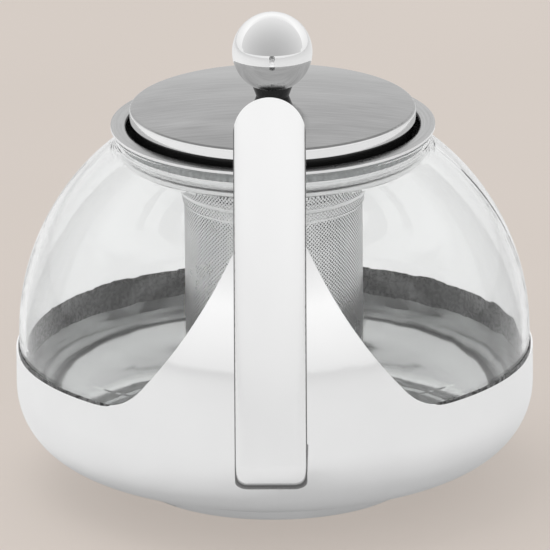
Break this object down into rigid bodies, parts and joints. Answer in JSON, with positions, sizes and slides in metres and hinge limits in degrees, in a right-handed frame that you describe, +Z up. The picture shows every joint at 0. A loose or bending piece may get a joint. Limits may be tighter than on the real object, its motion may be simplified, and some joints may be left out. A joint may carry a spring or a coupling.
{
  "type": "glass infuser teapot",
  "caption": "Domed glass teapot in a steel base with a winged strap handle; a perforated infuser basket hangs in its mouth under a lid with a ball knob.",
  "frame": {"origin": "on the pot's axis, in the plane of the foot's flat underside", "axes": "+Z up along the pot's axis, +Y towards the spout, -Y towards the handle, +X to the right seen from the handle"},
  "size_m": [0.1548, 0.1973, 0.1454],
  "materials": {
    "casing_steel": "mirror polish",
    "handle_steel": "mirror polish",
    "clear_glass": "clear, smooth",
    "clear_silicone": "translucent, satin",
    "rim_silicone": "dark, satin",
    "collar_steel": "fine satin",
    "basket_steel": "perforated, satin",
    "lid_steel": "fine straight brushing",
    "knob_steel": "mirror polish",
    "black_plastic": "gloss",
    "screw_steel": "bright zinc"
  },
  "bodies": {
    "pot": {"foot_plate": "casing_steel", "base_casing": "casing_steel", "glass_cushion": "clear_silicone", "rim_seal": "rim_silicone", "glass_body": "clear_glass", "handle_strap": "handle_steel", "handle_liner": "handle_steel", "handle_arm": "handle_steel"},
    "infuser": {"collar_ring": "collar_steel", "collar_seal": "clear_silicone", "basket_shoulder": "basket_steel", "basket_hoop": "basket_steel", "basket_wall": "basket_steel", "basket_bottom": "basket_steel", "basket_base_hoop": "basket_steel"},
    "lid": {"lid_shell": "lid_steel", "lid_liner": "collar_steel", "knob_spacer": "black_plastic", "knob_ball": "knob_steel", "screw_washer": "screw_steel", "knob_screw": "screw_steel"}
  },
  "joints": [
    {"name": "infuser_lift", "type": "slide", "parent": "pot", "child": "infuser", "axis": [0, 0, 1], "range_m": [0, 0.1]},
    {"name": "lid_lift", "type": "slide", "parent": "infuser", "child": "lid", "axis": [0, 0, 1], "range_m": [0, 0.06]}
  ]
}
